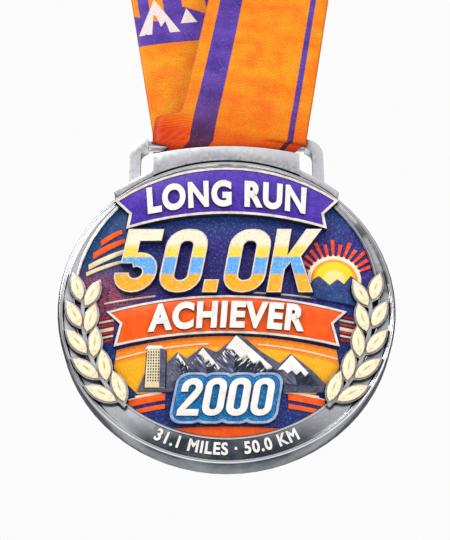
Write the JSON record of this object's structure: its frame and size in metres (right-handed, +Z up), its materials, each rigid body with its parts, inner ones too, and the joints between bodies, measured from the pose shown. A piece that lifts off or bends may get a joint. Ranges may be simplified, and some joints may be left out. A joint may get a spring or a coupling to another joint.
{
  "type": "sports finisher medal",
  "caption": "Round enamelled medal in layers, swinging on a slotted hanger from a printed satin neck ribbon.",
  "frame": {"origin": "middle of the neck band's inner face, where the ribbon rests on the back of the neck", "axes": "+Z up as worn, -Y the way the medal's front faces, +X to the right of someone who looks at its front"},
  "size_m": [0.1286, 0.141, 0.4144],
  "materials": {
    "polished_silver": "polished, silver plated zinc casting",
    "dark_silver": "silver plating, antiqued dark",
    "navy_enamel": "dark blue enamel",
    "violet_enamel": "violet enamel",
    "orange_enamel": "orange enamel",
    "amber_enamel": "amber enamel",
    "cream_enamel": "cream enamel",
    "white_enamel": "white enamel",
    "blue_enamel": "bright blue enamel",
    "slate_enamel": "slate grey enamel",
    "satin_ribbon": "woven satin, orange, with purple stripes on its front face"
  },
  "bodies": {
    "ribbon": {"ribbon_bar_wrap": "satin_ribbon", "ribbon_lap_joint": "satin_ribbon", "ribbon_left_tail": "satin_ribbon", "ribbon_neck_band": "satin_ribbon", "ribbon_right_tail": "satin_ribbon"},
    "medal": {"bottom_crescent": "orange_enamel", "field_enamel": "navy_enamel", "hanger_frame": "polished_silver", "laurel_left": "dark_silver", "laurel_right": "dark_silver", "leaf_enamel_left_01": "cream_enamel", "leaf_enamel_left_02": "cream_enamel", "leaf_enamel_left_03": "cream_enamel", "leaf_enamel_left_04": "cream_enamel", "leaf_enamel_left_05": "cream_enamel", "leaf_enamel_left_06": "cream_enamel", "leaf_enamel_left_07": "cream_enamel", "leaf_enamel_left_08": "cream_enamel", "leaf_enamel_left_09": "cream_enamel", "leaf_enamel_left_10": "cream_enamel", "leaf_enamel_right_01": "cream_enamel", "leaf_enamel_right_02": "cream_enamel", "leaf_enamel_right_03": "cream_enamel", "leaf_enamel_right_04": "cream_enamel", "leaf_enamel_right_05": "cream_enamel", "leaf_enamel_right_06": "cream_enamel", "leaf_enamel_right_07": "cream_enamel", "leaf_enamel_right_08": "cream_enamel", "leaf_enamel_right_09": "cream_enamel", "leaf_enamel_right_10": "cream_enamel", "lower_banner": "polished_silver", "lower_banner_enamel": "orange_enamel", "lower_stripe_left_lower": "orange_enamel", "lower_stripe_left_upper": "orange_enamel", "lower_stripe_right_lower": "orange_enamel", "lower_stripe_right_upper": "orange_enamel", "medal_disc": "polished_silver", "mountain_range": "slate_enamel", "numeral_five": "amber_enamel", "numeral_k": "amber_enamel", "numeral_point": "amber_enamel", "numeral_zero_left": "amber_enamel", "numeral_zero_right": "amber_enamel", "sky_enamel": "amber_enamel", "sky_streak_1": "orange_enamel", "sky_streak_2": "orange_enamel", "sky_streak_3": "cream_enamel", "sky_streak_4": "cream_enamel", "sun_burst": "orange_enamel", "sun_disc": "amber_enamel", "sunrise_hills": "navy_enamel", "tower": "cream_enamel", "upper_banner": "polished_silver", "upper_banner_enamel": "violet_enamel", "year_digit_1": "white_enamel", "year_digit_2": "white_enamel", "year_digit_3": "white_enamel", "year_digit_4": "white_enamel", "year_plaque": "polished_silver", "year_plaque_enamel": "blue_enamel"}
  },
  "joints": [
    {"name": "medal_swing", "type": "hinge", "parent": "ribbon", "child": "medal", "pos_m": [0, -0.13539, -0.30515], "axis": [1, 0, 0], "range_deg": [-80, 105]}
  ]
}
